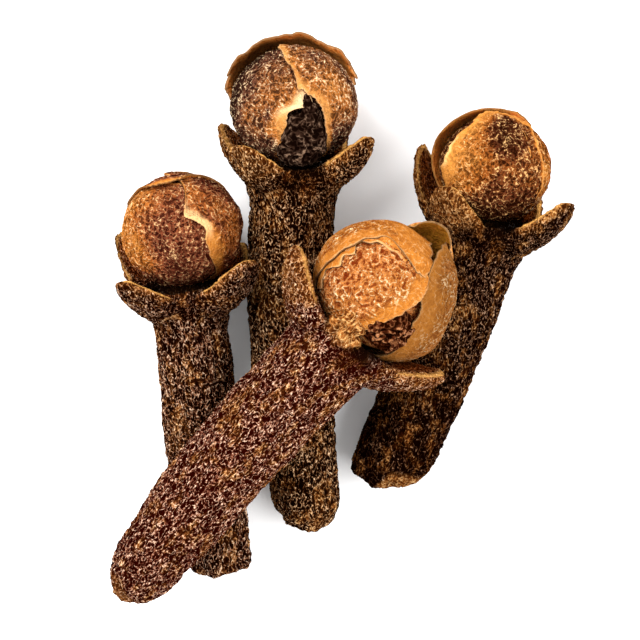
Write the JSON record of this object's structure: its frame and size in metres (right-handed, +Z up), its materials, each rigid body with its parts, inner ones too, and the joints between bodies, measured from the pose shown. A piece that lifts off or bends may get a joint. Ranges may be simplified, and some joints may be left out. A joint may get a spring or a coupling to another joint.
{
  "type": "heap of whole cloves",
  "caption": "Small loose heap of dried whole cloves, each a stout stem with spread sepals and a round petalled bud, one lying across the others.",
  "frame": {"origin": "on the table, under the middle of the heap's bounding box", "axes": "+Z up from the table; +Y towards the buds of the cloves that lie on the table, along their stems; +X to the right of a viewer who looks down on the heap with +Y away"},
  "size_m": [0.0164, 0.02, 0.0074],
  "materials": {
    "stem": "dark brown, dry and wrinkled",
    "bud": "tan to red-brown, papery, with a faint sheen",
    "stamens": "very dark brown, curled and matt"
  },
  "bodies": {
    "root": {"left_stem": "stem", "left_bud": "bud", "top_stem": "stem", "top_bud": "bud", "top_stamens": "stamens", "right_stem": "stem", "right_bud": "bud", "front_stem": "stem", "front_bud": "bud", "front_stamens": "stamens"}
  },
  "joints": []
}
